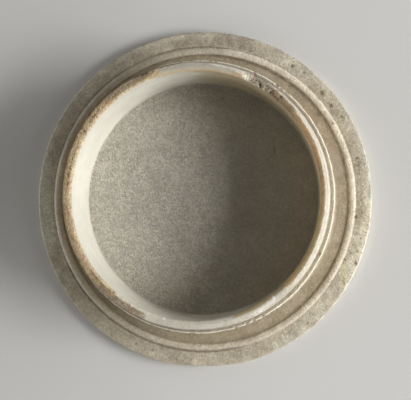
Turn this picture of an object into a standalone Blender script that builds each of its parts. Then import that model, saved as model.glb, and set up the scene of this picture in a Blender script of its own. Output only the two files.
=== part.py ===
"""Body of a small round marble box, turned in one piece with its moulded foot.

A thin upright wall stands on a wide foot disc. Round its top runs a narrow seat for a lid, with a
rounded collar inside it. Part of the collar's crown is broken away. Metres, +Z up, the underside
at Z = 0 and the turning axis on Z.
"""

import math
import random

import bmesh
import bpy

MM = 0.001

# The well inside the wall.
WELL_RADIUS = 38.8 * MM
WELL_DEPTH = 21.0 * MM
WELL_TAPER = 0.8 * MM
WELL_CORNER = 0.8 * MM
FLOOR_THICKNESS = 4.0 * MM

# The collar that a lid slips over, from the well's edge outwards, and the seat round it.
COLLAR_WALL = 3.2 * MM
COLLAR_HEIGHT = 6.5 * MM
CROWN_INNER_WIDTH = 1.4 * MM
CROWN_INNER_DROP = 0.6 * MM
CROWN_OUTER_DROP = 1.0 * MM
SEAT_WIDTH = 1.05 * MM
SEAT_ARRIS = 0.15 * MM

# The outer face of the wall, which draws in a little between its seat and its foot.
WAIST_DEPTH = 0.8 * MM
WALL_SPREAD = 0.15 * MM

# The foot's mouldings, as widths from the wall outwards.
CHANNEL_WIDTH = 3.9 * MM
STEP_WIDTH = 0.3 * MM
BEAD_WIDTH = 2.2 * MM
QUIRK_WIDTH = 0.5 * MM
FLANGE_WIDTH = 4.9 * MM
UNDERCUT_WIDTH = 1.6 * MM

# The foot's mouldings, as heights.
UNDERCUT_HEIGHT = 1.6 * MM
EDGE_ROUND = 0.7 * MM
FLANGE_FALL = 0.3 * MM
FLANGE_LEVEL = 4.0 * MM
QUIRK_DEPTH = 0.12 * MM
BEAD_RISE = 0.5 * MM
CHANNEL_DEPTH = 0.2 * MM
CHANNEL_RISE = 0.5 * MM

# The break in the collar's crown. It takes the whole crown up to the outer start, and then only
# the inner side of it.
CHIP_START_DEG = 48.0
CHIP_OUTER_START_DEG = 56.0
CHIP_END_DEG = 67.5
CHIP_DEPTH = 1.35 * MM
CHIP_ROUGHNESS = 0.22 * MM
CHIP_MARGIN = 1.5 * MM
CHIP_STATIONS = 16
CHIP_LANES = 6
CHIP_SEED = 7

# Finish.
STONE_COLOUR = (0.62, 0.54, 0.42, 1.0)
STONE_ROUGHNESS = 0.6
STONE_SUBSURFACE = 0.15

# Facets.
TURN_STEPS = 96
EDGE_STEPS = 3
FLANGE_STEPS = 4
BEAD_STEPS = 6
CHANNEL_STEPS = 5
WALL_STEPS = 5
CROWN_STEPS = 3
CORNER_STEPS = 2
SHARP_ANGLE = math.radians(32.0)
MERGE_DISTANCE = 0.0005 * MM

# Sizes that follow from the ones above.
HEIGHT = FLOOR_THICKNESS + WELL_DEPTH
SEAT_LEVEL = HEIGHT - COLLAR_HEIGHT
COLLAR_RADIUS = WELL_RADIUS + COLLAR_WALL
SEAT_RADIUS = COLLAR_RADIUS + SEAT_WIDTH
WALL_FOOT_RADIUS = SEAT_RADIUS + WALL_SPREAD
CHANNEL_RADIUS = WALL_FOOT_RADIUS + CHANNEL_WIDTH
BEAD_INNER_RADIUS = CHANNEL_RADIUS + STEP_WIDTH
BEAD_OUTER_RADIUS = BEAD_INNER_RADIUS + BEAD_WIDTH
FLANGE_INNER_RADIUS = BEAD_OUTER_RADIUS + QUIRK_WIDTH
FOOT_RADIUS = FLANGE_INNER_RADIUS + FLANGE_WIDTH


def arc(centre, reach, start_deg, end_deg, steps):
    """Points (radius, height) of an elliptic arc round centre, both ends included."""
    points = []
    for step in range(steps + 1):
        turn = math.radians(start_deg + (end_deg - start_deg) * step / steps)
        points.append((centre[0] + reach[0] * math.cos(turn), centre[1] + reach[1] * math.sin(turn)))
    return points


def flange():
    """The foot's outer edge, rounded below and above, and the top that rises a little from it."""
    low_centre = (FOOT_RADIUS - UNDERCUT_WIDTH, UNDERCUT_HEIGHT)
    under = arc(low_centre, (UNDERCUT_WIDTH, UNDERCUT_HEIGHT), -90, 0, EDGE_STEPS)
    high_centre = (FOOT_RADIUS - EDGE_ROUND, FLANGE_LEVEL - FLANGE_FALL - EDGE_ROUND)
    over = arc(high_centre, (EDGE_ROUND, EDGE_ROUND), 0, 90, EDGE_STEPS)
    top = []
    for step in range(1, FLANGE_STEPS + 1):
        share = 1 - step / FLANGE_STEPS
        radius = FLANGE_INNER_RADIUS + (FLANGE_WIDTH - EDGE_ROUND) * share
        top.append((radius, FLANGE_LEVEL - FLANGE_FALL * share**2))
    return under + over + top


def bead():
    """The quirk, a narrow groove, and the half-round bead inside it."""
    quirk = (BEAD_OUTER_RADIUS + QUIRK_WIDTH / 2, FLANGE_LEVEL - QUIRK_DEPTH)
    middle = (BEAD_INNER_RADIUS + BEAD_WIDTH / 2, FLANGE_LEVEL)
    return [quirk] + arc(middle, (BEAD_WIDTH / 2, BEAD_RISE), 0, 180, BEAD_STEPS)


def channel():
    """The shallow hollow moulding between the bead and the wall."""
    floor = FLANGE_LEVEL - CHANNEL_DEPTH
    return arc((CHANNEL_RADIUS, floor + CHANNEL_RISE), (CHANNEL_WIDTH, CHANNEL_RISE), -90, -180, CHANNEL_STEPS)


def wall():
    """The outer face, from the channel up to the seat, drawn in at its waist."""
    foot = FLANGE_LEVEL - CHANNEL_DEPTH + CHANNEL_RISE
    top = SEAT_LEVEL - SEAT_ARRIS
    points = []
    for step in range(1, WALL_STEPS + 1):
        share = step / WALL_STEPS
        radius = WALL_FOOT_RADIUS - WALL_SPREAD * share - WAIST_DEPTH * math.sin(math.pi * share)
        points.append((radius, foot + (top - foot) * share))
    return points


def collar():
    """The lid's seat, and the collar with its rounded crown."""
    crown_radius = WELL_RADIUS + CROWN_INNER_WIDTH
    outer_reach = (COLLAR_RADIUS - crown_radius, CROWN_OUTER_DROP)
    inner_reach = (CROWN_INNER_WIDTH, CROWN_INNER_DROP)
    outer = arc((crown_radius, HEIGHT - CROWN_OUTER_DROP), outer_reach, 0, 90, CROWN_STEPS)
    inner = arc((crown_radius, HEIGHT - CROWN_INNER_DROP), inner_reach, 90, 180, CROWN_STEPS)
    return [(SEAT_RADIUS - SEAT_ARRIS, SEAT_LEVEL), (COLLAR_RADIUS, SEAT_LEVEL)] + outer + inner


def well():
    """The foot of the well's side and the small round corner that it turns into the floor."""
    reach = (WELL_CORNER, WELL_CORNER)
    centre = (WELL_RADIUS - WELL_TAPER - WELL_CORNER, FLOOR_THICKNESS + WELL_CORNER)
    return arc(centre, reach, 0, -90, CORNER_STEPS)


def profile():
    """The turned section, from the underside's edge round to the floor's edge."""
    points = []
    for point in flange() + bead() + channel() + wall() + collar() + well():
        if not points or math.dist(point, points[-1]) > MERGE_DISTANCE:
            points.append(point)
    return points


def link(name, mesh, material=None):
    """Put a mesh in the scene as an object of its own."""
    item = bpy.data.objects.new(name, mesh)
    bpy.context.scene.collection.objects.link(item)
    if material:
        mesh.materials.append(material)
    return item


def turned_solid(name, section, material):
    """Spin a section once round Z, and close the underside and the floor with one flat face each."""
    shape = bmesh.new()
    verts = [shape.verts.new((radius, 0.0, height)) for radius, height in section]
    edges = [shape.edges.new(pair) for pair in zip(verts, verts[1:])]
    bmesh.ops.spin(
        shape,
        geom=verts + edges,
        cent=(0, 0, 0),
        axis=(0, 0, 1),
        angle=math.tau,
        steps=TURN_STEPS,
        use_merge=True,
    )
    bmesh.ops.remove_doubles(shape, verts=shape.verts, dist=MERGE_DISTANCE)
    bmesh.ops.holes_fill(shape, edges=[edge for edge in shape.edges if edge.is_boundary], sides=0)
    bmesh.ops.recalc_face_normals(shape, faces=shape.faces)
    mesh = bpy.data.meshes.new(name)
    shape.to_mesh(mesh)
    shape.free()
    mesh.shade_smooth()
    mesh.set_sharp_from_angle(angle=SHARP_ANGLE)
    return link(name, mesh, material)


def chip_depth(angle_deg, share):
    """How deep the break is below the crown, at an angle and a share of the way across it."""
    start = CHIP_START_DEG + (CHIP_OUTER_START_DEG - CHIP_START_DEG) * share
    along = (angle_deg - start) / (CHIP_END_DEG - start)
    if along <= 0:
        return -CHIP_MARGIN
    return CHIP_DEPTH * math.sqrt(along)


def chip_cutter(name):
    """A block over the broken stretch of the crown, with a rough underside."""
    rough = random.Random(CHIP_SEED)
    shape = bmesh.new()
    inner = WELL_RADIUS - WELL_TAPER - CHIP_MARGIN
    outer = COLLAR_RADIUS + CHIP_MARGIN
    grid = []
    for station in range(CHIP_STATIONS + 1):
        angle_deg = CHIP_START_DEG + (CHIP_END_DEG - CHIP_START_DEG) * station / CHIP_STATIONS
        turn = math.radians(angle_deg)
        row = []
        for lane in range(CHIP_LANES + 1):
            share = lane / CHIP_LANES
            radius = inner + (outer - inner) * share
            drop = chip_depth(angle_deg, share) + rough.uniform(-CHIP_ROUGHNESS, CHIP_ROUGHNESS)
            place = (radius * math.cos(turn), radius * math.sin(turn))
            low = shape.verts.new((*place, HEIGHT - drop))
            high = shape.verts.new((*place, HEIGHT + 2 * CHIP_MARGIN))
            row.append((low, high))
        grid.append(row)
    for near, far in zip(grid, grid[1:]):
        for one, two, three, four in zip(near, near[1:], far[1:], far):
            shape.faces.new([corner[0] for corner in (one, two, three)])
            shape.faces.new([corner[0] for corner in (one, three, four)])
            shape.faces.new([corner[1] for corner in (one, two, three, four)])
    ring = grid[0] + [row[-1] for row in grid[1:-1]] + grid[-1][::-1] + [row[0] for row in grid[-2:0:-1]]
    for one, two in zip(ring, ring[1:] + ring[:1]):
        shape.faces.new((one[0], two[0], two[1], one[1]))
    bmesh.ops.recalc_face_normals(shape, faces=shape.faces)
    mesh = bpy.data.meshes.new(name)
    shape.to_mesh(mesh)
    shape.free()
    cutter = link(name, mesh)
    cutter.hide_render = True
    cutter.display_type = "WIRE"
    return cutter


def cut(item, cutter):
    """Take the cutter's space out of an object."""
    boolean = item.modifiers.new(cutter.name, "BOOLEAN")
    boolean.operation = "DIFFERENCE"
    boolean.solver = "EXACT"
    boolean.object = cutter


def marble():
    """Cream marble, close-grained and a little translucent."""
    material = bpy.data.materials.new("marble")
    material.use_nodes = True
    shader = material.node_tree.nodes["Principled BSDF"]
    shader.inputs["Base Color"].default_value = STONE_COLOUR
    shader.inputs["Roughness"].default_value = STONE_ROUGHNESS
    shader.inputs["Metallic"].default_value = 0.0
    shader.inputs["Subsurface Weight"].default_value = STONE_SUBSURFACE
    return material


def main():
    """Clear the scene and model the box's body."""
    for item in list(bpy.data.objects):
        bpy.data.objects.remove(item, do_unlink=True)
    body = turned_solid("pyxis_body", profile(), marble())
    cut(body, chip_cutter("crown_chip"))


main()
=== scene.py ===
"""Body of a small round marble box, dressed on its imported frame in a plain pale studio.

The body is one turned form: a moulded foot disc, a thin wall, a seat for a lid, a worn and partly
broken collar, and a plain well. Lengths are in metres. Angles are counted from +X towards +Y.
"""

from __future__ import annotations

import logging
import math
from dataclasses import dataclass, field
from enum import Enum
from functools import partial
from typing import Any, Iterable, Union

import bpy
from mathutils import Matrix, Vector


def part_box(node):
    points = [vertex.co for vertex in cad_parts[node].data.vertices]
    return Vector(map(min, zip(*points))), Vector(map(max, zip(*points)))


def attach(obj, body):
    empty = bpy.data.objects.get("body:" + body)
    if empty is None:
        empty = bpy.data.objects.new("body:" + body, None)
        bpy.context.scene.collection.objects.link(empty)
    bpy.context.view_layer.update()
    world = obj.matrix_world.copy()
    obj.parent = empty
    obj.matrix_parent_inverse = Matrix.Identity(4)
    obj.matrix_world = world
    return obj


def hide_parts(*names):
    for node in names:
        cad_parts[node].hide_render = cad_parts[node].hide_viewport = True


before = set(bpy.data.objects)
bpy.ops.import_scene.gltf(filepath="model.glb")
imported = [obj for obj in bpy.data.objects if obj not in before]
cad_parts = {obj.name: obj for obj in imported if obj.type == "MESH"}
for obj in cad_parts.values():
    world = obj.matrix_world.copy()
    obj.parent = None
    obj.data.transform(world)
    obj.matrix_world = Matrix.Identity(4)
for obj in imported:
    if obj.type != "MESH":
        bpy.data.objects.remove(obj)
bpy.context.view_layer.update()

BODY_NODE = "pyxis_body"
ROOT_BODY = "root"
PHOTO_WIDTH = 411
PHOTO_HEIGHT = 400

MM = 0.001

Pair = tuple[float, float]
Colour = tuple[float, float, float]
Operand = Union["Field", float, int, tuple]

log = logging.getLogger("marble_box")


def placed(name: str, data: bpy.types.ID) -> bpy.types.Object:
    """Put a new object in the scene.

    Args:
        name: Its name.
        data: Its mesh, camera or light.

    Returns:
        The object.
    """
    item = bpy.data.objects.new(name, data)
    bpy.context.scene.collection.objects.link(item)
    return item


class Field:
    """An output of a node, with arithmetic that adds the nodes which work it out."""

    def __init__(self, bench: Bench, socket: bpy.types.NodeSocket) -> None:
        """Keep the bench that adds nodes, and the socket that holds the value."""
        self.bench, self.socket = bench, socket

    def __add__(self, other: Operand) -> Field:
        """Add another value."""
        return self.bench.math("ADD", self, other)

    def __sub__(self, other: Operand) -> Field:
        """Take another value away."""
        return self.bench.math("SUBTRACT", self, other)

    def __rsub__(self, other: Operand) -> Field:
        """Be taken away from a number."""
        return self.bench.math("SUBTRACT", other, self)

    def __mul__(self, other: Operand) -> Field:
        """Multiply by another value."""
        return self.bench.math("MULTIPLY", self, other)

    def __truediv__(self, other: Operand) -> Field:
        """Divide by another value."""
        return self.bench.math("DIVIDE", self, other)

    __radd__ = __add__
    __rmul__ = __mul__

    def least(self, other: Operand) -> Field:
        """The smaller of this and another value."""
        return self.bench.math("MINIMUM", self, other)

    def most(self, other: Operand) -> Field:
        """The larger of this and another value."""
        return self.bench.math("MAXIMUM", self, other)

    def clamped(self) -> Field:
        """This value, held between 0 and 1."""
        return self.least(1.0).most(0.0)


class Bench:
    """Adds nodes to one tree, of geometry or of a material, and links them."""

    def __init__(self, tree: bpy.types.NodeTree) -> None:
        """Keep the tree and empty it."""
        self.tree = tree
        tree.nodes.clear()

    def add(self, kind: str, inputs: dict[str, Any] | None = None, **settings: Any) -> bpy.types.Node:
        """Add a node.

        Args:
            kind: The node's type name.
            inputs: Values or fields, by the names of the sockets that take them.
            settings: Properties of the node.

        Returns:
            The new node.
        """
        node = self.tree.nodes.new(kind)
        for name, value in settings.items():
            setattr(node, name, value)
        for name, value in (inputs or {}).items():
            self.feed(self.pin(node.inputs, name), value)
        return node

    def made(self, kind: str, port: str, inputs: dict[str, Any] | None = None, **settings: Any) -> Field:
        """Add a node as add does, and give the output of that name."""
        return self.out(self.add(kind, inputs, **settings), port)

    @staticmethod
    def pin(sockets: Iterable[bpy.types.NodeSocket], name: str) -> bpy.types.NodeSocket:
        """The socket of that name that is in use under the node's settings."""
        return next(socket for socket in sockets if socket.enabled and socket.name == name)

    def feed(self, socket: bpy.types.NodeSocket, value: Any) -> None:
        """Link a field to a socket, or set the socket's own value.

        Args:
            socket: The input to fill.
            value: A field, or a plain value that the socket can hold.
        """
        if isinstance(value, Field):
            self.tree.links.new(value.socket, socket)
        elif isinstance(value, tuple) and len(value) == 3 and len(socket.default_value) == 4:
            socket.default_value = (*value, 1.0)
        else:
            socket.default_value = value

    def out(self, node: bpy.types.Node, name: str) -> Field:
        """One of a node's outputs, as a field."""
        return Field(self, self.pin(node.outputs, name))

    def math(self, operation: str, *operands: Operand) -> Field:
        """Work out one step of arithmetic.

        Args:
            operation: The Math node's operation.
            operands: Its values, in order.

        Returns:
            The result.
        """
        node = self.add("ShaderNodeMath", operation=operation)
        for socket, value in zip(node.inputs, operands):
            self.feed(socket, value)
        return self.out(node, "Value")

    def split(self, vector: Field) -> tuple[Field, ...]:
        """The three parts of a vector."""
        node = self.add("ShaderNodeSeparateXYZ", {"Vector": vector})
        return tuple(self.out(node, axis) for axis in "XYZ")

    def join(self, x: Operand, y: Operand, z: Operand) -> Field:
        """A vector from its three parts."""
        return self.made("ShaderNodeCombineXYZ", "Vector", {"X": x, "Y": y, "Z": z})

    def vector(self, operation: str, first: Field, other: Operand) -> Field:
        """Work out one step of vector arithmetic.

        Args:
            operation: The Vector Math node's operation.
            first: The first vector.
            other: The second one, or for SCALE a number.

        Returns:
            The vector, or for DISTANCE and DOT_PRODUCT the number.
        """
        node = self.add("ShaderNodeVectorMath", operation=operation)
        self.feed(node.inputs[0], first)
        self.feed(self.pin(node.inputs, "Scale") if operation == "SCALE" else node.inputs[1], other)
        return self.out(node, "Value" if operation in ("DISTANCE", "DOT_PRODUCT") else "Vector")

    def nudged(self, point: Field, size: float, reach: float) -> Field:
        """A point moved about by noise, so that what is drawn at it has a wandering edge.

        Args:
            point: The point.
            size: How far apart the noise's swells are.
            reach: How far it is moved where the noise is strongest.

        Returns:
            The moved point.
        """
        inputs = {"Vector": point, "Scale": 1.0 / size, "Detail": 3.0}
        noise = self.made("ShaderNodeTexNoise", "Color", inputs)
        push = self.vector("SUBTRACT", noise, (0.5, 0.5, 0.5))
        return self.vector("ADD", point, self.vector("SCALE", push, reach * 2.0))

    def noise(
        self, point: Field, size: float, detail: float, rough: float = 0.5, seed: Operand = 0.0
    ) -> Field:
        """Smooth noise, mostly between 0.3 and 0.7.

        Args:
            point: Where it is read.
            size: How far apart its swells are.
            detail: How many finer layers it has.
            rough: How strong the finer layers are.
            seed: Which noise of its kind it is.

        Returns:
            The noise.
        """
        inputs = {"Vector": point, "Scale": 1.0 / size, "Detail": detail, "Roughness": rough, "W": seed}
        return self.made("ShaderNodeTexNoise", "Fac", inputs, noise_dimensions="4D")

    def cells(self, point: Field, size: float, port: str = "Color") -> Field:
        """Grains of stone: each point belongs to the nearest of many scattered ones.

        Args:
            point: Where they are read.
            size: How far apart the grains are.
            port: Color for random tones to each grain, or Distance from the grain's middle.

        Returns:
            The tones or the distance, which is counted in sizes.
        """
        return self.made("ShaderNodeTexVoronoi", port, {"Vector": point, "Scale": 1.0 / size})

    def ramp(
        self, value: Operand, start: Operand, end: Operand, low: float = 0.0, high: float = 1.0
    ) -> Field:
        """Rise or fall smoothly from one value to another.

        Args:
            value: What is measured.
            start: Where the change starts.
            end: Where it ends.
            low: The result at the start and before it.
            high: The result at the end and past it.

        Returns:
            The result.
        """
        inputs = {"Value": value, "From Min": start, "From Max": end, "To Min": low, "To Max": high}
        return self.made("ShaderNodeMapRange", "Result", inputs, interpolation_type="SMOOTHSTEP")

    def blend(self, share: Operand, first: Operand, second: Operand) -> Field:
        """Lay the second colour over the first, by a share from 0 to 1."""
        inputs = {"Factor": share, "A": first, "B": second}
        return self.made("ShaderNodeMix", "Result", inputs, data_type="RGBA", clamp_factor=True)


class Polar:
    """Where a point lies round the axis, worked out once for all the masks that read it."""

    def __init__(self, bench: Bench, point: Field) -> None:
        """Work out the point's distance and direction from the axis, and its height."""
        self.bench = bench
        x, y, self.height = bench.split(point)
        self.across = x
        self.radius = bench.math("SQRT", x * x + y * y)
        self.heading = bench.join(x / self.radius, y / self.radius, 0.0)

    def arc(self, centre_deg: float, half_deg: float, soft_deg: float) -> Field:
        """A mask that is 1 over a stretch round the axis, and 0 outside it.

        Args:
            centre_deg: The middle of the stretch.
            half_deg: How far the stretch reaches each way.
            soft_deg: How far each end fades, inwards and outwards.

        Returns:
            The mask.
        """
        centre = math.radians(centre_deg)
        facing = self.bench.vector("DOT_PRODUCT", self.heading, (math.cos(centre), math.sin(centre), 0.0))
        outer = math.cos(math.radians(min(half_deg + soft_deg, 180.0)))
        inner = math.cos(math.radians(max(half_deg - soft_deg, 0.0)))
        return self.bench.ramp(facing, outer, inner)

    def ring(self, inner: float, outer: float, soft: float) -> Field:
        """A mask that is 1 between two distances from the axis, and 0 outside them.

        Args:
            inner: The smaller distance.
            outer: The larger distance.
            soft: How far each side fades, inwards and outwards.

        Returns:
            The mask.
        """
        rise = self.bench.ramp(self.radius, inner - soft, inner + soft)
        return rise * self.bench.ramp(self.radius, outer + soft, outer - soft)


class Zone(Enum):
    """The parts of the turned surface, each with a tone of its own."""

    UNDERSIDE = "underside"
    FLANGE = "flange"
    BEAD = "bead"
    CHANNEL = "channel"
    WALL = "wall"
    ARRIS = "arris"
    SEAT = "seat"
    COLLAR = "collar"
    CROWN = "crown"
    WELL = "well"
    FLOOR = "floor"


@dataclass(frozen=True)
class Station:
    """One point of the turned section.

    Attributes:
        radius: Distance from the axis.
        height: Height above the underside.
        zone: The part of the surface that it belongs to.
        grime_and_shade: How much dirt and painted crease shade darken it there, from 0 to 1.
        crown: How much it sinks with the collar's crown where that is broken, from 0 to 1.
        shoulder: The height of the crown, or of its shoulder, that it belongs to.
        wear: How much it may be worn, from 0 to 1.
        edge: How close it is to the foot's outer edge, from 0 to 1.
        pitted: How much of the collar's pitting it may take, from 0 to 1.
        fall: How far the crown's outer slope has come down there.
        rugged: How uneven the surface is, from 0 to 1.
        sharp: How much it is broken as a sharp edge is, from 0 to 1.
        drift: How much it lies off centre, and below 0 how much to the other side.
    """

    radius: float
    height: float
    zone: Zone
    grime_and_shade: float = 0.0
    crown: float = 0.0
    shoulder: float = 0.0
    wear: float = 1.0
    edge: float = 0.0
    pitted: float = 0.0
    fall: float = 0.0
    rugged: float = 0.0
    sharp: float = 0.0
    drift: float = 0.0


@dataclass(frozen=True)
class TurnedSection:
    """The section of the body, from the underside's middle round to the floor's middle."""

    foot_radius: float
    height: float
    undercut: float = 1.6 * MM
    edge_round: float = 0.7 * MM
    edge_reach: float = 0.8 * MM
    flange_width: float = 4.9 * MM
    flange_fall: float = 0.3 * MM
    quirk_width: float = 0.5 * MM
    bead_width: float = 2.2 * MM
    step_width: float = 0.2 * MM
    channel_width: float = 4.0 * MM
    flange_level: float = 4.0 * MM
    quirk_depth: float = 0.01 * MM
    bead_rise: float = 0.5 * MM
    bead_square: float = 0.92
    bead_slope: float = 1.7
    channel_depth: float = 0.08 * MM
    channel_rise: float = 0.38 * MM
    wall_spread: float = 0.05 * MM
    waist_depth: float = 0.8 * MM
    seat_width: float = 1.37 * MM
    seat_arris: float = 0.36 * MM
    collar_wall: float = 2.98 * MM
    collar_height: float = 6.5 * MM
    collar_quirk: float = 0.1 * MM
    crown_inner_width: float = 1.4 * MM
    crown_inner_drop: float = 0.7 * MM
    crown_outer_drop: float = 1.5 * MM
    crown_slope_width: float = 1.0 * MM
    crown_slope_drop: float = 0.3 * MM
    shoulder_round: float = 0.5 * MM
    well_taper: float = 0.8 * MM
    well_curve: float = 1.8
    well_corner: float = 0.35 * MM
    well_depth: float = 21.0 * MM
    give_reach: float = 3.2 * MM
    foot_drift: float = 1.1
    seat_drift: float = 0.7
    collar_drift: float = -0.4
    crown_rugged: float = 0.6

    @property
    def flange_inner(self) -> float:
        """Radius of the flange's inner edge."""
        return self.foot_radius - self.flange_width

    @property
    def bead_outer(self) -> float:
        """Radius of the bead's outer edge."""
        return self.flange_inner - self.quirk_width

    @property
    def channel_outer(self) -> float:
        """Radius of the channel's outer edge."""
        return self.bead_outer - self.bead_width - self.step_width

    @property
    def wall_foot(self) -> float:
        """Radius of the wall at its foot."""
        return self.channel_outer - self.channel_width

    @property
    def seat_radius(self) -> float:
        """Outer radius of the lid's seat."""
        return self.wall_foot - self.wall_spread

    @property
    def collar_radius(self) -> float:
        """Outer radius of the collar."""
        return self.seat_radius - self.seat_width

    @property
    def well_radius(self) -> float:
        """Radius of the well at its mouth."""
        return self.collar_radius - self.collar_wall

    @property
    def seat_level(self) -> float:
        """Height of the lid's seat."""
        return self.height - self.collar_height

    @property
    def floor_level(self) -> float:
        """Height of the well's floor."""
        return self.height - self.well_depth

    @staticmethod
    def arc(centre: Pair, reach: Pair, turn: Pair, steps: int) -> list[Pair]:
        """Points of an elliptic arc.

        Args:
            centre: Its middle, as radius and height.
            reach: Its half widths along the radius and the height.
            turn: Where it starts and ends, in degrees.
            steps: How many pieces it has.

        Returns:
            The points, both ends included.
        """
        angles = [math.radians(turn[0] + (turn[1] - turn[0]) * step / steps) for step in range(steps + 1)]
        return [(centre[0] + reach[0] * math.cos(a), centre[1] + reach[1] * math.sin(a)) for a in angles]

    def underside(self) -> list[Station]:
        """The flat underside, left unworn so that the box rests level."""
        rim = self.foot_radius - self.undercut
        return [Station(rim * share, 0.0, Zone.UNDERSIDE, wear=0.0) for share in (0.0, 0.4, 0.7, 0.95)]

    def flange(self) -> list[Station]:
        """The foot's edge, rounded below and above, and its top, which rises a little from it.

        Returns:
            Its stations, from below to the top's inner edge.
        """
        low = (self.foot_radius - self.undercut, self.undercut)
        under = self.arc(low, (self.undercut, self.undercut), (-90, 0), 6)
        stations = []
        for i, (r, z) in enumerate(under):
            share = i / (len(under) - 1)
            stations.append(Station(r, z, Zone.FLANGE, wear=share, edge=share, rugged=share))
        high = (self.foot_radius - self.edge_round, self.flange_level - self.flange_fall - self.edge_round)
        over = self.arc(high, (self.edge_round, self.edge_round), (0, 90), 7)
        for share in (1 - step / 12 for step in range(1, 13)):
            radius = self.flange_inner + (self.flange_width - self.edge_round) * share
            over.append((radius, self.flange_level - self.flange_fall * share**2))
        for r, z in over:
            near = max(0.0, 1 - (self.foot_radius - r) / self.edge_reach)
            drift = self.foot_drift * min(1.0, (self.foot_radius - r) / self.flange_width)
            stations.append(Station(r, z, Zone.FLANGE, edge=near, rugged=1.0, drift=drift))
        return stations

    def bead(self) -> list[Station]:
        """The quirk with its softened edges, and the half-round bead.

        Returns:
            Their stations, from the outside inwards.
        """
        facts = {"rugged": 1.0, "drift": self.foot_drift}
        stations = []
        # The quirk and the bead's inner foot: dirt, and painted shade in these creases.
        for share, depth in ((0.2, 0.55), (0.5, 1.0), (0.8, 0.55)):
            radius = self.flange_inner - self.quirk_width * share
            height = self.flange_level - self.quirk_depth * depth
            stations.append(Station(radius, height, Zone.BEAD, grime_and_shade=depth * 0.6, **facts))
        middle = self.bead_outer - self.bead_width / 2
        grime_and_shade_levels = {11: 0.15, 12: 0.5}
        for i, (x, y) in enumerate(self.arc((0.0, 0.0), (1.0, 1.0), (0, 180), 12)):
            radius = middle + self.bead_width / 2 * math.copysign(abs(x) ** self.bead_square, x)
            rise = self.bead_rise * y ** (self.bead_slope if x > 0 else self.bead_square)
            stations.append(Station(radius, self.flange_level + rise, Zone.BEAD, grime_and_shade_levels.get(i, 0.0), **facts))
        return stations

    def channel(self) -> list[Station]:
        """The shallow hollow between the bead and the wall.

        Returns:
            Its stations, from the outside inwards.
        """
        centre = (self.channel_outer, self.flange_level - self.channel_depth + self.channel_rise)
        sweep = self.arc(centre, (self.channel_width, self.channel_rise), (-90, -180), 12)
        # Dirt, and painted shade, where the channel meets the bead's step.
        grime_and_shade_levels = [0.6, 0.2] + [0.0] * (len(sweep) - 2)
        facts = {"rugged": 1.0, "drift": self.foot_drift}
        return [Station(r, z, Zone.CHANNEL, grime_and_shade, **facts) for (r, z), grime_and_shade in zip(sweep, grime_and_shade_levels)]

    def wall(self) -> list[Station]:
        """The outer face of the wall, drawn in at its waist.

        Returns:
            Its stations, upwards.
        """
        foot = self.flange_level - self.channel_depth + self.channel_rise
        rise = self.seat_level - self.seat_arris - foot
        turn = self.foot_drift - self.seat_drift
        stations = []
        for share in (step / 8 for step in range(1, 8)):
            radius = self.wall_foot - self.wall_spread * share - self.waist_depth * math.sin(math.pi * share)
            drift = self.foot_drift - turn * share
            stations.append(Station(radius, foot + rise * share, Zone.WALL, drift=drift))
        return stations

    def seat(self) -> list[Station]:
        """The lid's seat, its sharp edge and the fine line at the collar's foot.

        Returns:
            Their stations, from the edge inwards.
        """
        edge = (self.seat_radius - self.seat_arris, self.seat_level - self.seat_arris)
        arris = self.arc(edge, (self.seat_arris, self.seat_arris), (0, 90), 3)
        stations = [Station(r, z, Zone.ARRIS, rugged=1.0, sharp=1.0, drift=self.seat_drift) for r, z in arris]
        # Dirt, and painted shade, on the seat towards the collar's foot, darkest in the line there.
        for share, grime_and_shade in ((0.15, 0.1), (0.5, 0.3), (0.8, 0.6)):
            radius = self.collar_radius + (self.seat_width - self.seat_arris) * (1 - share)
            drift = self.seat_drift - share
            stations.append(Station(radius, self.seat_level, Zone.SEAT, grime_and_shade, rugged=0.6, drift=drift))
        line = (self.collar_radius + self.collar_quirk, self.seat_level - self.collar_quirk)
        return [*stations, Station(*line, Zone.SEAT, grime_and_shade=0.8, drift=self.collar_drift)]

    def fullness(self, radius: float, height: float) -> float:
        """How far the collar's shoulder would stand above a point if it weren't worn round.

        Args:
            radius: The point's distance from the axis.
            height: Its height.

        Returns:
            The distance.
        """
        over = max(0.0, radius - (self.collar_radius - self.shoulder_round))
        full = self.height - self.shoulder_round + math.sqrt(max(0.0, self.shoulder_round**2 - over**2))
        return full - height

    def collar(self) -> list[Station]:
        """The collar's outer side and its rounded crown.

        Returns:
            Their stations, upwards and then inwards.
        """
        radius, shoulder = self.collar_radius, self.height - self.crown_outer_drop
        stations = []
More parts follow.
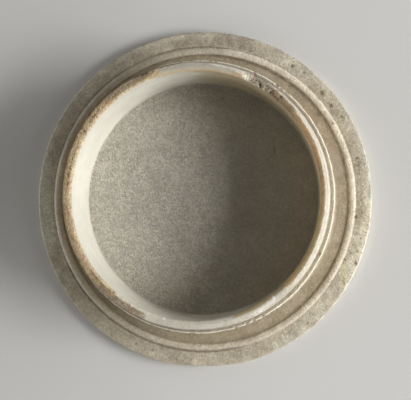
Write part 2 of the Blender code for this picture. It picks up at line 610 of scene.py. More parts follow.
        # Dirt, and painted shade, down the collar's outer side and over the crown's outer slope.
        for share, grime_and_shade in ((0.03, 0.8), (0.15, 0.7), (0.4, 0.7), (0.7, 0.8), (0.9, 0.8)):
            height = self.seat_level + (shoulder - self.seat_level) * share
            give = max(0.0, 1.0 - (shoulder - height) / self.give_reach)
            fall = self.fullness(radius, shoulder) * share**2
            facts = {"pitted": give, "fall": fall, "drift": self.collar_drift}
            stations.append(Station(radius, height, Zone.COLLAR, grime_and_shade, give, shoulder, **facts))
        peak = self.well_radius + self.crown_inner_width
        slope = (peak + self.crown_slope_width, self.height - self.crown_slope_drop)
        outer = self.arc((slope[0], shoulder), (radius - slope[0], slope[1] - shoulder), (0, 90), 8)
        for i, ((r, z), grime_and_shade) in enumerate(zip(outer, (0.8, 0.8, 0.8, 0.8, 0.75, 0.6, 0.4, 0.2, 0.0))):
            facts = {"fall": self.fullness(r, z), "drift": self.collar_drift * (1 - i / len(outer))}
            facts["rugged"] = self.crown_rugged
            stations.append(Station(r, z, Zone.CROWN, grime_and_shade, 1.0, z, pitted=1.0, **facts))
        for share in (step / 4 for step in range(1, 5)):
            r, fall = slope[0] - self.crown_slope_width * share, self.crown_slope_drop * (1 - share)
            z = self.height - fall
            facts = {"fall": fall, "rugged": self.crown_rugged}
            stations.append(Station(r, z, Zone.CROWN, 0.0, 1.0, z, pitted=1.0, **facts))
        centre = (peak, self.height - self.crown_inner_drop)
        inner = self.arc(centre, (self.crown_inner_width, self.crown_inner_drop), (90, 180), 8)[1:]
        return stations + [Station(r, z, Zone.CROWN, 0.0, 1.0, z, pitted=1.0, rugged=0.4) for r, z in inner]

    def well(self) -> list[Station]:
        """The well's side, its small round corner and its floor.

        Returns:
            Their stations, down to the floor's middle.
        """
        mouth, foot = self.height - self.crown_inner_drop, self.floor_level + self.well_corner
        stations = []
        for share in (0.012, 0.03, 0.055, 0.09, 0.13, 0.18, 0.25, 0.35, 0.5, 0.65, 0.8, 0.95):
            height = mouth + (foot - mouth) * share
            radius = self.well_radius - self.well_taper * share**self.well_curve
            give = max(0.0, 1.0 - (mouth - height) / self.give_reach)
            stations.append(Station(radius, height, Zone.WELL, 0.0, give, mouth))
        rim = self.well_radius - self.well_taper - self.well_corner
        corner = self.arc((rim, foot), (self.well_corner, self.well_corner), (0, -90), 4)
        # Dirt, and painted shade, in the well's round corner.
        stations += [Station(r, z, Zone.WELL, grime_and_shade=0.1) for r, z in corner]
        rings = (0.997, 0.97, 0.92, 0.84, 0.74, 0.62, 0.5, 0.38, 0.25, 0.12, 0.0)
        return stations + [Station(rim * share, self.floor_level, Zone.FLOOR) for share in rings]

    def stations(self) -> list[Station]:
        """The whole section, in order."""
        foot = self.underside() + self.flange() + self.bead() + self.channel()
        return foot + self.wall() + self.seat() + self.collar() + self.well()

    def height_at(self, radius: float) -> float:
        """The height of the topmost surface at a distance from the axis.

        Args:
            radius: The distance.

        Returns:
            The height.
        """
        stations = self.stations()
        heights = []
        for a, b in zip(stations, stations[1:]):
            if min(a.radius, b.radius) <= radius <= max(a.radius, b.radius) and a.radius != b.radius:
                heights.append(a.height + (b.height - a.height) * (radius - a.radius) / (b.radius - a.radius))
        return max(heights)


class MarkKind(Enum):
    """What a small mark on the surface is."""

    PIT = "pit"
    SPOT = "spot"
    RUST = "rust"
    FLECK = "fleck"
    NICK = "nick"


@dataclass(frozen=True)
class Mark:
    """One small mark, seen from above.

    Attributes:
        kind: What it is.
        angle_deg: Where it lies round the axis.
        radius_mm: How far it lies from the axis, in millimetres.
        size_mm: How far it reaches, in millimetres.
        depth_mm: How deep it is at its middle, in millimetres.
        drop_mm: How far the surface has sunk there, in millimetres.
    """

    kind: MarkKind
    angle_deg: float
    radius_mm: float
    size_mm: float
    depth_mm: float = 0.0
    drop_mm: float = 0.0


MARK_ROWS = {
    MarkKind.NICK: (
        (97.0, 43.0, 0.5, 0.25), (92.3, 43.0, 0.4, 0.2), (84.3, 43.0, 0.6, 0.25), (82.0, 43.0, 0.5, 0.2),
        (64.9, 42.9, 0.6, 0.3), (53.8, 42.9, 0.7, 0.3), (51.6, 42.9, 0.6, 0.25), (49.2, 42.9, 0.5, 0.2),
        (298.8, 43.0, 0.7, 0.3), (294.7, 43.0, 0.6, 0.3), (291.5, 43.0, 0.7, 0.3), (286.5, 43.0, 0.6, 0.25),
    ),
    MarkKind.FLECK: (
        (306.0, 43.0, 0.5, -0.05), (299.4, 41.1, 0.6, -0.08), (307.6, 39.8, 0.6, -0.08),
        (256.0, 39.3, 0.45, -0.05), (240.5, 39.5, 0.35), (248.5, 39.4, 0.35),
    ),
    MarkKind.PIT: (
        (60.5, 40.3, 0.55, 0.25, 1.1), (59.4, 39.7, 0.65, 0.3, 1.0), (58.6, 39.3, 0.6, 0.25, 0.9),
        (57.4, 39.1, 0.45, 0.2, 0.9), (56.5, 40.4, 0.55, 0.25, 1.0), (55.8, 39.3, 0.5, 0.2, 0.8),
        (53.2, 39.4, 0.65, 0.25, 0.7), (52.5, 40.3, 0.8, 0.3, 0.7), (51.6, 39.6, 0.75, 0.25, 0.6),
        (50.3, 39.4, 0.55, 0.2, 0.4), (48.4, 40.2, 0.65, 0.2, 0.2), (48.9, 39.2, 0.45, 0.1, 0.2),
        (62.3, 39.3, 0.4, 0.15, 1.0), (63.5, 39.6, 0.35, 0.15, 1.1), (61.6, 40.3, 0.4, 0.15, 1.2),
        (54.3, 40.8, 0.4, 0.15, 0.9), (149.8, 40.2, 0.4, 0.2), (113.6, 41.3, 0.7, 0.3),
        (111.8, 41.1, 0.5, 0.3), (115.3, 41.4, 0.5, 0.2), (108.8, 40.8, 0.3, 0.2), (196.5, 41.0, 0.3, 0.1),
    ),
    MarkKind.RUST: (
        (133.2, 39.8, 0.8), (136.2, 40.2, 0.5), (230.0, 39.9, 0.6),
    ),
    MarkKind.SPOT: (
        (334.8, 42.6, 0.5), (55.8, 43.6, 0.6, 0.1), (51.9, 46.3, 0.5, 0.1), (71.6, 46.5, 0.5, 0.1),
        (35.4, 46.6, 0.9), (41.0, 51.9, 1.0, 0.1), (35.5, 51.6, 0.9), (30.0, 52.4, 0.6), (29.6, 48.9, 0.4),
        (14.3, 51.8, 0.7, 0.1), (55.6, 52.2, 0.8, 0.1), (71.9, 50.7, 0.5, 0.1), (75.8, 51.3, 0.4, 0.1),
        (80.5, 52.6, 0.4, 0.1), (353.0, 50.2, 0.7, 0.1), (341.0, 53.0, 0.5, 0.1), (345.4, 52.9, 0.4),
        (337.0, 54.0, 0.8, 0.1), (329.0, 53.4, 0.5), (336.6, 50.3, 0.5), (339.6, 51.3, 0.4),
        (310.3, 52.9, 0.4), (245.2, 52.2, 0.5, 0.1), (251.5, 52.0, 0.4), (258.9, 46.0, 0.5),
        (264.5, 44.4, 0.5), (266.6, 44.0, 0.5),
    ),
}
MARKS = tuple(Mark(kind, *row) for kind, rows in MARK_ROWS.items() for row in rows)


class Patches:
    """Noises and height masks that the colour patches share."""

    SIZES_MM = (0.8, 1.3, 2.2)

    def __init__(self, bench: Bench, point: Field) -> None:
        """Add one noise of each size, centred on zero."""
        self.noises = {size: bench.noise(point, size * MM, 3.0, 0.6) - 0.5 for size in self.SIZES_MM}
        self.steps: dict[tuple[float, float], Field] = {}

    def above(self, place: Polar, low_mm: float, soft_mm: float) -> Field:
        """A mask that is 1 above a height, shared by all that ask for the same one.

        Args:
            place: The point's measures.
            low_mm: The height.
            soft_mm: How far the mask fades, each way.

        Returns:
            The mask.
        """
        key = (low_mm, soft_mm)
        if key not in self.steps:
            self.steps[key] = place.bench.ramp(place.height, (low_mm - soft_mm) * MM, (low_mm + soft_mm) * MM)
        return self.steps[key]

    def nearest(self, size_mm: float) -> Field:
        """The noise whose size is nearest to the one asked for."""
        return self.noises[min(self.SIZES_MM, key=lambda size: abs(size - size_mm))]


@dataclass(frozen=True)
class ColourPatch:
    """A stretch of the surface in another colour, with a ragged edge: most are stains, some are painted light
    or shade.

    Attributes:
        tone: Its colour.
        centre_deg: Its middle, round the axis.
        half_deg: How far it reaches each way.
        inner_mm: Its inner radius.
        outer_mm: Its outer radius.
        cover: How much it hides what is below, from 0 to 1.
        ragged: How much it is broken up.
        patch_mm: The size of the patches it breaks into.
        soft_mm: How far its sides fade.
        soft_deg: How far its ends fade.
        coarse: How coarse the stone is there, or below 0 how much smoother than around it.
        low_mm: The lowest height it shows at.
        low_soft_mm: How far it fades there.
    """

    tone: Colour
    centre_deg: float
    half_deg: float
    inner_mm: float
    outer_mm: float
    cover: float = 0.9
    ragged: float = 0.5
    patch_mm: float = 1.3
    soft_mm: float = 0.25
    soft_deg: float = 2.0
    coarse: float = 0.0
    low_mm: float = 0.0
    low_soft_mm: float = 1.0

    def share(self, place: Polar, patches: Patches) -> Field:
        """How much the patch hides at a point.

        Args:
            place: The point's measures.
            patches: The noises and masks that it shares with the others.

        Returns:
            The share, from 0 to 1.
        """
        mask = place.arc(self.centre_deg, self.half_deg, self.soft_deg)
        mask = mask * place.ring(self.inner_mm * MM, self.outer_mm * MM, self.soft_mm * MM)
        if self.low_mm:
            mask = mask * patches.above(place, self.low_mm, self.low_soft_mm)
        broken = 1.0 + patches.nearest(self.patch_mm) * (4.0 * self.ragged)
        return place.bench.ramp(mask * broken, 0.3, 0.9) * self.cover


@dataclass(frozen=True)
class Streak:
    """A thin straight line of another tone, seen from above.

    Attributes:
        tone: Its colour.
        start: Where it starts, as an angle in degrees and a radius in millimetres.
        end: Where it ends, in the same way.
        width_mm: Its width.
        cover: How much it hides what is below, from 0 to 1.
        fade_mm: How far its ends fade, each way.
    """

    tone: Colour
    start: Pair
    end: Pair
    width_mm: float
    cover: float
    fade_mm: float = 0.5

    @staticmethod
    def place(spot: Pair) -> Vector:
        """The point at an angle and a radius."""
        angle = math.radians(spot[0])
        return Vector((spot[1] * MM * math.cos(angle), spot[1] * MM * math.sin(angle)))

    def share(self, bench: Bench, x: Field, y: Field) -> Field:
        """How much the streak hides at a point.

        Args:
            bench: The bench that adds the nodes.
            x: Where the point lies along X.
            y: Where it lies along Y.

        Returns:
            The share, from 0 to 1.
        """
        start, end = self.place(self.start), self.place(self.end)
        length, fade = (end - start).length, self.fade_mm * MM
        along = (end - start) / length
        run = x * along.x + y * along.y - along.dot(start)
        aside = bench.math("ABSOLUTE", x * along.y - y * along.x - (start.x * along.y - start.y * along.x))
        line = bench.ramp(aside, self.width_mm * MM, 0.0)
        begun = bench.ramp(run, -fade, fade)
        return line * begun * bench.ramp(run, length + fade, length - fade) * self.cover


TAN = (0.60, 0.465, 0.265)
RUST = (0.56, 0.31, 0.14)
BROWN = (0.25, 0.18, 0.115)
ROSE = (0.70, 0.47, 0.31)
UMBER = (0.31, 0.20, 0.11)
CREAM = (0.83, 0.765, 0.63)
PALE = (0.62, 0.60, 0.49)

BUFF = (0.80, 0.72, 0.58)
IVORY = (0.78, 0.755, 0.665)
CHALK = (0.92, 0.88, 0.79)
QUIRK_DIRT_AND_SHADE = (0.28, 0.225, 0.16)
DUN = (0.45, 0.37, 0.29)
FAWN = (0.47, 0.38, 0.29)

ON_CROWN = {"low_mm": 22.8, "low_soft_mm": 0.8}

COLOUR_PATCHES = (
    ColourPatch((0.55, 0.45, 0.29), 12.0, 78.0, 37.6, 39.0, 0.95, 0.2, soft_deg=20.0, low_mm=4.1, low_soft_mm=0.1),
    ColourPatch((0.46, 0.35, 0.20), 92.0, 22.0, 37.6, 39.0, 0.5, 0.4, soft_deg=10.0, low_mm=21.0),
    ColourPatch(TAN, 174.0, 68.5, 38.0, 42.4, 0.97, 0.3, soft_deg=4.0, coarse=1.0, low_mm=24.3, low_soft_mm=0.12),
    ColourPatch((0.71, 0.67, 0.56), 272.0, 42.0, 38.8, 41.9, 0.75, 0.3, soft_deg=6.0, **ON_CROWN),
    ColourPatch((0.42, 0.32, 0.19), 168.0, 58.0, 40.9, 42.4, 0.65, 0.7, coarse=1.0, low_mm=17.0),
    ColourPatch((0.46, 0.34, 0.18), 170.0, 58.0, 39.4, 41.6, 0.5, 1.3, 0.8, 0.5, coarse=1.0),
    ColourPatch((0.80, 0.66, 0.45), 172.0, 52.0, 38.9, 40.2, 0.4, 1.2, 2.2, 0.4),
    ColourPatch(TAN, 92.0, 17.0, 38.4, 39.4, 0.75, 0.4, soft_mm=0.35, low_mm=22.0),
    # Paler outer half of the crown at the right: partly the stone's own pale colour, partly a painted
    # highlight where that slope faces the light.
    ColourPatch(CREAM, 359.0, 43.0, 40.25, 41.5, 0.85, 0.3, soft_deg=6.0),
    ColourPatch((0.72, 0.66, 0.54), 304.0, 14.0, 39.8, 41.5, 0.7, 0.5, soft_deg=4.0),
    # A pale band on the crown's outer slope: partly pale stone, partly a painted highlight.
    ColourPatch(BUFF, 46.0, 7.0, 40.75, 41.35, 0.8, 0.3, soft_mm=0.15, soft_deg=3.0),
    # Orange-brown band on the crown's inner edge at the right: partly stain, partly a painted glow of light
    # shining through the rim.
    ColourPatch((0.55, 0.37, 0.18), 3.0, 48.0, 38.5, 40.3, 1.0, 0.3, 2.2, 0.2, 5.0, 0.6, **ON_CROWN),
    ColourPatch((0.50, 0.37, 0.18), 304.0, 16.0, 38.5, 39.7, 0.9, 0.5, 1.3, 0.2, 5.0, 0.6, **ON_CROWN),
    ColourPatch((0.47, 0.38, 0.17), 336.0, 15.0, 38.6, 40.1, 0.7, 0.5, 2.2, coarse=0.6, **ON_CROWN),
    ColourPatch(RUST, 24.0, 13.0, 38.9, 40.3, 0.5, 0.9, 2.2, 0.4, coarse=0.6, **ON_CROWN),
    ColourPatch((0.33, 0.24, 0.13), 48.0, 9.0, 38.7, 40.8, 0.9, 0.4, 1.3, 0.2, 4.0, 0.8, **ON_CROWN),
    ColourPatch((0.62, 0.42, 0.25), 70.0, 3.0, 38.9, 40.1, 0.8, 0.6, soft_mm=0.4),
    ColourPatch((0.33, 0.25, 0.15), 57.0, 8.5, 39.0, 41.0, 0.6, 1.3, 0.8, 0.4, coarse=1.0, **ON_CROWN),
    ColourPatch((0.31, 0.22, 0.12), 51.5, 4.2, 38.9, 41.0, 0.9, 0.6, 0.8, 0.5, coarse=1.0, **ON_CROWN),
    # The broken crown's rounded end, paler: partly cream stone, partly a painted highlight where it faces the
    # light.
    ColourPatch((0.86, 0.79, 0.63), 66.4, 1.7, 39.3, 40.7, 0.95, 0.2, soft_mm=0.3, soft_deg=1.0),
    ColourPatch((0.83, 0.76, 0.62), 68.5, 3.0, 40.1, 41.0, 0.9, 0.3, soft_deg=1.5),
    # A painted highlight along the collar's shoulder at the top.
    ColourPatch((0.82, 0.77, 0.68), 74.0, 8.0, 40.6, 41.3, 0.8, 0.4, soft_mm=0.2, soft_deg=4.0),
    ColourPatch(ROSE, 134.0, 5.0, 38.9, 40.5, 0.65, 1.0, soft_mm=0.4),
    ColourPatch(ROSE, 174.0, 3.5, 38.9, 40.0, 0.7, 0.9, soft_mm=0.4),
    ColourPatch(ROSE, 192.0, 7.0, 39.1, 40.5, 0.5, 1.1, soft_mm=0.4),
    ColourPatch(ROSE, 210.0, 8.0, 39.0, 40.4, 0.6, 1.0, soft_mm=0.4),
    ColourPatch(UMBER, 171.5, 4.5, 39.8, 40.5, 0.8, 1.0, 0.8),
    ColourPatch(UMBER, 161.5, 2.6, 39.9, 40.4, 0.8, 0.9, 0.8),
    ColourPatch(UMBER, 141.5, 3.4, 39.8, 40.7, 0.8, 1.0, 0.8),
    ColourPatch(UMBER, 219.5, 3.6, 39.6, 40.5, 0.8, 1.0, 0.8),
    ColourPatch(UMBER, 186.5, 2.2, 40.0, 40.5, 0.7, 1.0, 0.8),
    ColourPatch(BROWN, 113.0, 5.0, 40.3, 42.4, 0.8, 1.0, 0.8, 0.4, coarse=1.0, low_mm=17.0),
    ColourPatch((0.32, 0.24, 0.15), 122.0, 12.0, 39.4, 42.4, 0.8, 0.7, 1.3, 0.5, 4.0, 1.0, low_mm=17.0),
    ColourPatch((0.32, 0.24, 0.16), 106.0, 9.0, 41.0, 42.4, 0.8, 0.5, soft_deg=4.0, coarse=0.6, low_mm=17.0),
    ColourPatch((0.31, 0.235, 0.15), 235.0, 12.0, 39.5, 42.4, 0.9, 0.6, soft_deg=4.0, coarse=1.0, low_mm=17.0),
    ColourPatch((0.52, 0.46, 0.37), 51.0, 4.0, 42.2, 43.3, 0.7, 0.5, coarse=0.6),
    # Dark paint in the quirk at the top left and bottom left: dirt, and painted shade in the crease on the
    # side turned from the light.
    ColourPatch(QUIRK_DIRT_AND_SHADE, 112.0, 32.0, 49.5, 50.3, 0.8, 0.4, soft_mm=0.45, soft_deg=8.0),
    ColourPatch(QUIRK_DIRT_AND_SHADE, 245.0, 40.0, 49.1, 50.2, 0.75, 0.4, soft_mm=0.45, soft_deg=10.0),
    ColourPatch(IVORY, 104.0, 15.0, 37.0, 38.9, 0.7, 0.2, soft_deg=8.0, low_mm=15.0, low_soft_mm=4.0),
    ColourPatch(IVORY, 242.0, 15.0, 37.0, 38.9, 0.7, 0.2, soft_deg=8.0, low_mm=15.0, low_soft_mm=4.0),
    ColourPatch(CHALK, 304.5, 4.0, 39.8, 41.3, 0.4, 1.5, 0.8, 0.4),
    ColourPatch(CHALK, 298.0, 3.0, 40.4, 41.6, 0.7, 1.5, 0.8, 0.4),
    ColourPatch((0.88, 0.85, 0.77), 283.0, 12.0, 40.2, 41.6, 0.25, 1.5, 0.8, 0.4, 4.0),
    # A painted shadow along the broken crown's inner edge.
    ColourPatch((0.30, 0.22, 0.12), 55.0, 8.5, 38.6, 39.3, 0.5, 0.8, 0.8, coarse=0.8, **ON_CROWN),
    # On the flange at the left, in the wall's cast shadow: paler at 181°; darker round 224° and 136°, partly
    # painted shadow and partly the stone's own patchiness.
    ColourPatch(PALE, 181.0, 15.0, 50.6, 55.2, 0.5, 0.5, 2.2, soft_deg=7.0),
    ColourPatch((0.40, 0.36, 0.265), 224.0, 26.0, 50.4, 55.2, 0.5, 0.4, 2.2, soft_deg=8.0),
    ColourPatch((0.40, 0.355, 0.27), 136.0, 28.0, 47.6, 55.2, 0.5, 0.4, 2.2, soft_deg=8.0),
    ColourPatch((0.38, 0.29, 0.18), 175.0, 62.0, 41.1, 42.4, 0.5, 0.6, soft_mm=0.15, coarse=1.0, low_mm=17.0),
    ColourPatch((0.38, 0.32, 0.25), 86.0, 15.0, 50.4, 55.2, 0.65, 0.7, 2.2, 0.6, 6.0),
    ColourPatch((0.26, 0.20, 0.12), 64.0, 24.0, 46.6, 47.3, 0.75, 0.6, 0.8, soft_deg=6.0),
    ColourPatch(PALE, 302.0, 7.0, 52.0, 55.2, 0.6, 0.6, 2.2, 0.8),
    ColourPatch(PALE, 50.0, 8.0, 52.0, 55.2, 0.6, 0.6, 2.2, 0.8),
    ColourPatch(BUFF, 36.0, 44.0, 47.4, 49.8, 0.85, 0.2, soft_deg=14.0),
    ColourPatch((0.68, 0.63, 0.50), 5.0, 60.0, 50.0, 55.2, 0.42, 0.6, 2.2, 0.8, 14.0),
    ColourPatch((0.76, 0.71, 0.53), 346.0, 19.0, 51.8, 55.2, 0.55, 0.5, 2.2, 1.0),
    ColourPatch(DUN, 15.0, 5.0, 44.2, 46.6, 0.6, 0.4, 2.2, 0.5, 3.0, -0.8),
    ColourPatch(DUN, 347.0, 4.0, 44.4, 46.6, 0.5, 0.4, 2.2, 0.5, 3.0, -0.8),
    ColourPatch(FAWN, 311.0, 5.0, 44.2, 46.6, 0.6, 0.4, 2.2, 0.5, 3.0, -0.8),
    ColourPatch(FAWN, 294.0, 6.0, 44.2, 46.4, 0.6, 0.4, 2.2, 0.5, 3.0, -0.8),
    ColourPatch((0.44, 0.38, 0.30), 63.0, 4.0, 44.8, 46.6, 0.7, 0.4, 2.2, 0.5, 3.0, -0.8),
    # On the well's floor: paler near the right wall's foot, a painted glow of light bounced from that wall;
    # darker near the wall at the top; paler towards the lit left wall, a painted glow of light bounced from
    # it.
    ColourPatch((0.66, 0.58, 0.47), 340.0, 50.0, 30.0, 38.2, 0.65, 0.3, 2.2, 4.0, 14.0),
    ColourPatch((0.42, 0.39, 0.33), 88.0, 34.0, 30.0, 38.4, 0.55, 0.3, 2.2, 3.0, 12.0),
    ColourPatch((0.68, 0.65, 0.56), 196.0, 40.0, 17.0, 36.5, 0.4, 0.3, 2.2, 6.0, 20.0),
    ColourPatch(PALE, 8.0, 9.0, 53.6, 55.2, 0.6, 0.6, 2.2, 0.8),
    ColourPatch(PALE, 120.0, 50.0, 53.0, 55.2, 0.35, 0.9, 2.2, 1.0),
    ColourPatch((0.40, 0.32, 0.20), 20.0, 28.0, 49.6, 53.0, 0.35, 1.2, 2.2, 1.0),
    ColourPatch((0.40, 0.28, 0.18), 30.0, 12.0, 44.2, 47.0, 0.4, 1.0, soft_mm=0.5),
)

STREAKS = (
    Streak((0.56, 0.49, 0.20), (337.0, 49.5), (326.5, 54.8), 0.55, 0.6),
    Streak((0.60, 0.60, 0.46), (296.6, 51.5), (295.8, 54.8), 0.6, 0.6),
    Streak((0.20, 0.16, 0.12), (36.2, 29.0), (31.0, 27.6), 0.3, 0.7),
)


@dataclass(frozen=True)
class Stretch:
    """A stretch of the surface with less of the crease dirt and painted shade, or rougher than the rest.

    Attributes:
        centre_deg: Its middle, round the axis.
        half_deg: How far it reaches each way.
        inner_mm: Its inner radius.
        outer_mm: Its outer radius.
        share: How much it eases the dirt and painted shade, or roughens, from 0 to 1.
        soft_mm: How far its sides fade.
        soft_deg: How far its ends fade.
    """

    centre_deg: float
    half_deg: float
    inner_mm: float
    outer_mm: float
    share: float
    soft_mm: float = 0.2
    soft_deg: float = 12.0

    def mask(self, place: Polar) -> Field:
        """How far a point has changed, from 0 to 1."""
        ring = place.ring(self.inner_mm * MM, self.outer_mm * MM, self.soft_mm * MM)
        return place.arc(self.centre_deg, self.half_deg, self.soft_deg) * ring * self.share


# Stretches of the seat, the step and the quirk where the crease dirt and painted crease shade are eased, at
# the right and at the left.
DIRT_AND_SHADE_EASED = (
    Stretch(354.0, 28.0, 41.0, 43.0, 0.85),
    Stretch(330.0, 48.0, 41.0, 43.0, 0.4),
    Stretch(318.0, 42.0, 41.8, 43.0, 0.6),
    Stretch(34.0, 26.0, 41.8, 43.0, 0.4),
    Stretch(180.0, 56.0, 41.0, 43.0, 0.9),
    Stretch(320.0, 72.0, 46.0, 48.0, 0.7),
    Stretch(180.0, 58.0, 46.0, 48.2, 0.95),
    Stretch(350.0, 66.0, 49.0, 50.6, 0.8),
)

ROUGHENED = (
    Stretch(174.0, 64.0, 38.9, 42.4, 0.9),
    Stretch(52.0, 14.0, 38.7, 41.2, 0.8),
)


COARSENESS = {
    Zone.WELL: 0.12,
    Zone.CROWN: 0.3,
    Zone.ARRIS: 0.3,
    Zone.COLLAR: 0.4,
    Zone.SEAT: 0.6,
    Zone.BEAD: 0.6,
    Zone.CHANNEL: 0.65,
    Zone.FLANGE: 0.8,
    Zone.FLOOR: 1.5,
}


@dataclass(frozen=True)
class StoneFinish:
    """Colours of the marble, its stains, its dirt and the painted shade in its creases, as they look in full
    light.
    """

    underside: Colour = (0.48, 0.42, 0.31)
    flange: Colour = (0.54, 0.48, 0.37)
    bead: Colour = (0.62, 0.55, 0.43)
    channel: Colour = (0.375, 0.315, 0.215)
    wall: Colour = (0.48, 0.42, 0.31)
    arris: Colour = (0.86, 0.80, 0.68)
    seat: Colour = (0.47, 0.41, 0.31)
    collar: Colour = (0.44, 0.38, 0.28)
    crown: Colour = (0.56, 0.51, 0.42)
    well: Colour = (0.68, 0.66, 0.575)
    floor: Colour = (0.575, 0.545, 0.465)
    # The colour of the dirt and the painted shade in the creases.
    dirt_and_shade: Colour = (0.13, 0.095, 0.06)
    pit: Colour = (0.15, 0.10, 0.055)
    spot: Colour = (0.24, 0.18, 0.11)
    rust: Colour = (0.55, 0.30, 0.14)
    pock: Colour = (0.24, 0.17, 0.10)
    fleck: Colour = (0.96, 0.94, 0.88)
    nick: Colour = (0.36, 0.29, 0.20)
    broken: Colour = (0.54, 0.46, 0.35)
    bloom: Colour = (0.64, 0.60, 0.48)
    tarnish: Colour = (0.36, 0.28, 0.18)
    ochre: Colour = (0.52, 0.40, 0.24)
    grain: float = 0.6 * MM
    speck: float = 0.95 * MM
    grain_depth: float = 0.65 * MM
    roughness: float = 0.55
    glow: float = 0.2
    glow_reach: Colour = (1.0, 0.8, 0.5)
    wander: float = 0.4 * MM

    def tone(self, name: Enum) -> Colour:
        """The plain colour of one part of the surface, or of one kind of mark."""
        return getattr(self, name.value)

    @staticmethod
    def coarseness(zone: Zone) -> float:
        """How coarse the stone looks on one part of the surface: 0 is smooth, 1 is plain stone."""
        return COARSENESS.get(zone, 1.0)

    def grained(self, bench: Bench, point: Field, place: Polar, colour: Field, coarse: Field) -> Field:
        """Give a colour the marble's slow clouds, its grains and its dark specks.

        Args:
            bench: The bench that adds the nodes.
            point: Where it is read.
            place: The point's measures.
            colour: The plain colour.
            coarse: How coarse the stone is there.

        Returns:
            The grained colour.
        """
        rim = bench.ramp(place.radius, 49 * MM, 51 * MM)
        outside = bench.ramp(place.radius, 38 * MM, 39 * MM)
        smoother = bench.ramp(place.across, -2 * MM, 14 * MM) * (1.0 - outside)
        stone = coarse.least(1.0) * (1.0 - smoother * 0.5)
        slow = bench.noise(point, 7 * MM, 2.0) - 0.5
        patchy = bench.noise(point, 3.2 * MM, 3.0, 0.6, 2.0) - 0.5
        clouds = 1.0 + slow * (rim * 0.4 + 0.3) + patchy * stone * (rim * 0.15 + outside * 0.3 + 0.4)
        colour = bench.vector("SCALE", colour, clouds)
        clouded = stone * (rim * 0.15 + outside * 0.2 + 0.05)
        colour = bench.blend(bench.ramp(patchy + slow * 0.5, 0.05, 0.22) * clouded, colour, self.bloom)
        colour = bench.blend(bench.ramp(patchy + slow * 0.5, -0.05, -0.22) * clouded, colour, self.tarnish)
        light, tint, _ = bench.split(bench.cells(point, self.grain))
        fine = bench.noise(point, 0.5 * MM, 2.0, 0.7)
        spread = (light - 0.5) * 0.4 + (fine - 0.5) * 0.7
        colour = bench.vector("SCALE", colour, spread * stone + 1.0)
        colour = bench.blend(bench.ramp(tint, 0.6, 1.0) * stone * 0.2, colour, self.ochre)
        near = bench.cells(point, self.speck, "Distance")
        kind, _, _ = bench.split(bench.cells(point, self.speck))
        many = place.arc(38.0, 64.0, 14.0) * rim
        speck = bench.ramp(near, 0.34, 0.14) * bench.ramp(kind - many * 0.4, 0.34, 0.2)
        return bench.blend(speck * stone * (many * 0.4 + 0.4), colour, self.spot)

    def relief(self, bench: Bench, point: Field, coarse: Field) -> Field:
        """The height of the stone's finest grain.

        Args:
            bench: The bench that adds the nodes.
            point: Where it is read.
            coarse: How coarse the stone is there.

        Returns:
            The height, in grains.
        """
        fine = bench.noise(point, 0.5 * MM, 1.0, 0.6, 5.0) - 0.5
        hollow = bench.ramp(bench.cells(point, 0.8 * MM, "Distance"), 0.1, 0.5) - 0.7
        return (fine + hollow * 0.2) * coarse

    def material(self) -> bpy.types.Material:
        """Build the marble.

        Returns:
            The material.
        """
        material = bpy.data.materials.new("marble_stone")
        material.use_nodes = True
        bench = Bench(material.node_tree)
        point = bench.made("ShaderNodeTexCoord", "Object")
        names = ("tone", "grime_and_shade", "grain", "broken", "pit", "mark", "mark_tone")
        ports = {name: "Color" if name.endswith("tone") else "Fac" for name in names}
        facts = {name: bench.made("ShaderNodeAttribute", ports[name], attribute_name=name) for name in names}
        patches = Patches(bench, point)
        place = Polar(bench, bench.nudged(point, 1.6 * MM, self.wander))
        colour, coarse = facts["tone"], facts["grain"].most(facts["broken"])
        for colour_patch in COLOUR_PATCHES:
            share = colour_patch.share(place, patches)
            colour = bench.blend(share, colour, colour_patch.tone)
            if colour_patch.coarse > 0.0:
                coarse = coarse.most(share * colour_patch.coarse)
            elif colour_patch.coarse < 0.0:
                coarse = coarse * (1.0 + share * colour_patch.coarse)
        x, y, _ = bench.split(point)
        for streak in STREAKS:
            colour = bench.blend(streak.share(bench, x, y), colour, streak.tone)
        mottle = bench.ramp(patches.nearest(1.3), -0.06, 0.1)
        colour = bench.blend(facts["broken"] * mottle, colour, self.broken)
        colour = bench.blend(bench.ramp(place.height, 0.9 * MM, 0.4 * MM), colour, self.underside)
        colour = self.grained(bench, point, place, colour, coarse)
        colour = bench.blend(facts["pit"] * 0.8, colour, self.pock)
        colour = bench.blend(facts["mark"], colour, facts["mark_tone"])
